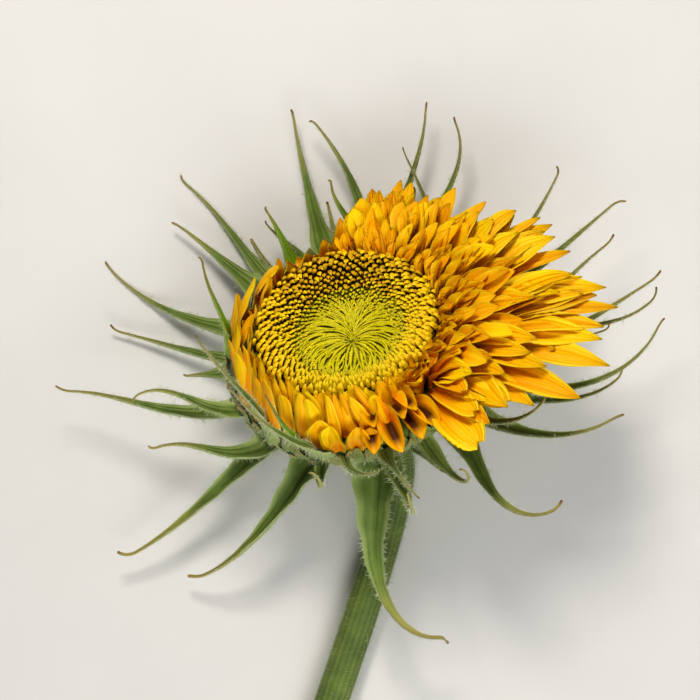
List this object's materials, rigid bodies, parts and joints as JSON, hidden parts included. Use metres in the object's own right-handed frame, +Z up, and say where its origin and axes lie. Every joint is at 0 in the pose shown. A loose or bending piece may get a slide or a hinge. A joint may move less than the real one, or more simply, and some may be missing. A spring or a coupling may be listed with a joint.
{
  "type": "cut sunflower",
  "caption": "A half-open double bloom with a dished disc, packed golden rays and long curling green bracts, on a short bent stem that lies flat.",
  "frame": {"origin": "middle of the footprint, on the surface that the cut flower lies on", "axes": "+Z up from that surface; +Y from the stem's cut end towards the bloom, the longest extent; +X to the right, seen from above with the bloom away from the viewer"},
  "size_m": [0.2154, 0.243, 0.0904],
  "materials": {
    "stem_green": "fresh green stem, ribbed and hairy",
    "bract_green": "matt green leaf with pale hairs",
    "bract_lime": "bright young green leaf",
    "ray_gold": "soft golden petals with fine pleats",
    "disc_gold": "close-packed yellow-green to gold florets"
  },
  "bodies": {
    "root": {"bract_01": "bract_green", "bract_02": "bract_green", "bract_03": "bract_green", "bract_04": "bract_green", "bract_05": "bract_green", "bract_06": "bract_green", "bract_07": "bract_green", "bract_08": "bract_green", "bract_09": "bract_green", "bract_10": "bract_green", "bract_11": "bract_green", "bract_12": "bract_green", "bract_13": "bract_green", "bract_14": "bract_green", "bract_15": "bract_green", "bract_16": "bract_green", "bract_17": "bract_green", "bract_18": "bract_green", "bract_19": "bract_lime", "bract_20": "bract_green", "bract_21": "bract_green", "bract_22": "bract_green", "bract_23": "bract_lime", "bract_24": "bract_green", "bract_25": "bract_green", "bract_26": "bract_green", "bract_27": "bract_green", "bract_28": "bract_green", "bract_29": "bract_lime", "bract_30": "bract_green", "bract_31": "bract_green", "bract_32": "bract_green", "bract_33": "bract_green", "bract_34": "bract_green", "bract_35": "bract_green", "bract_36": "bract_green", "bract_37": "bract_lime", "bract_38": "bract_green", "bract_39": "bract_green", "bract_40": "bract_green", "bract_41": "bract_green", "bract_42": "bract_green", "bract_43": "bract_green", "bract_44": "bract_green", "bract_45": "bract_green", "floret_disc": "disc_gold", "rays_far": "ray_gold", "rays_far_left": "ray_gold", "rays_far_right": "ray_gold", "rays_left": "ray_gold", "rays_lower_right": "ray_gold", "rays_near": "ray_gold", "rays_near_left": "ray_gold", "rays_right": "ray_gold", "rays_right_far": "ray_gold", "rays_right_near": "ray_gold", "receptacle": "bract_green", "stem": "stem_green"}
  },
  "joints": []
}
